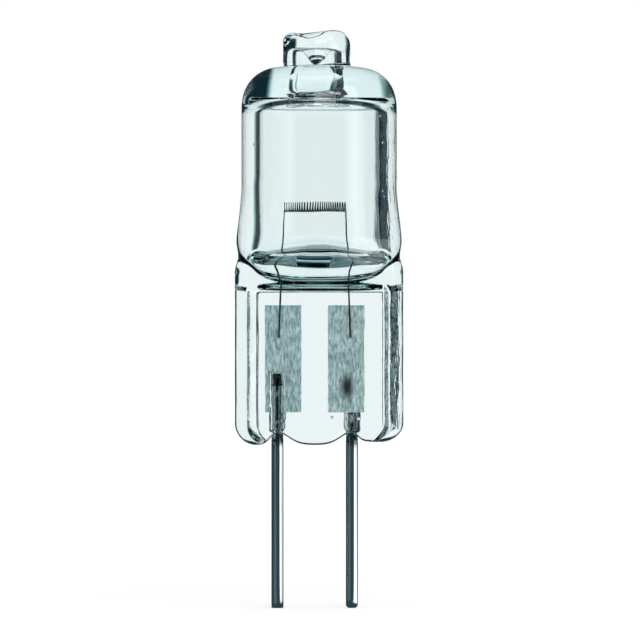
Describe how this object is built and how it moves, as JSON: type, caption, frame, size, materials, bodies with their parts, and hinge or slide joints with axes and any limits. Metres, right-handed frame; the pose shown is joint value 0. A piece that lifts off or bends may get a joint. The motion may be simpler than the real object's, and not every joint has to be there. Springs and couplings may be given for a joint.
{
  "type": "halogen capsule bulb",
  "caption": "Clear quartz capsule bulb with a domed tube, sealed exhaust tip, wound filament on foil strips, and a flat pinch seal with plug-in pins.",
  "frame": {"origin": "midway between the pins, in the plane of the pinch's lower end", "axes": "+Z along the bulb towards its dome, X through the pins, +Y towards the back of the picture"},
  "size_m": [0.0091, 0.0084, 0.0311],
  "materials": {
    "fused_quartz": "clear",
    "tungsten": "drawn wire",
    "molybdenum_foil": "etched foil",
    "molybdenum_pin": "drawn rod"
  },
  "bodies": {
    "root": {"quartz_envelope": "fused_quartz", "filament": "tungsten", "foil_left": "molybdenum_foil", "foil_right": "molybdenum_foil", "pin_left": "molybdenum_pin", "pin_right": "molybdenum_pin"}
  },
  "joints": []
}
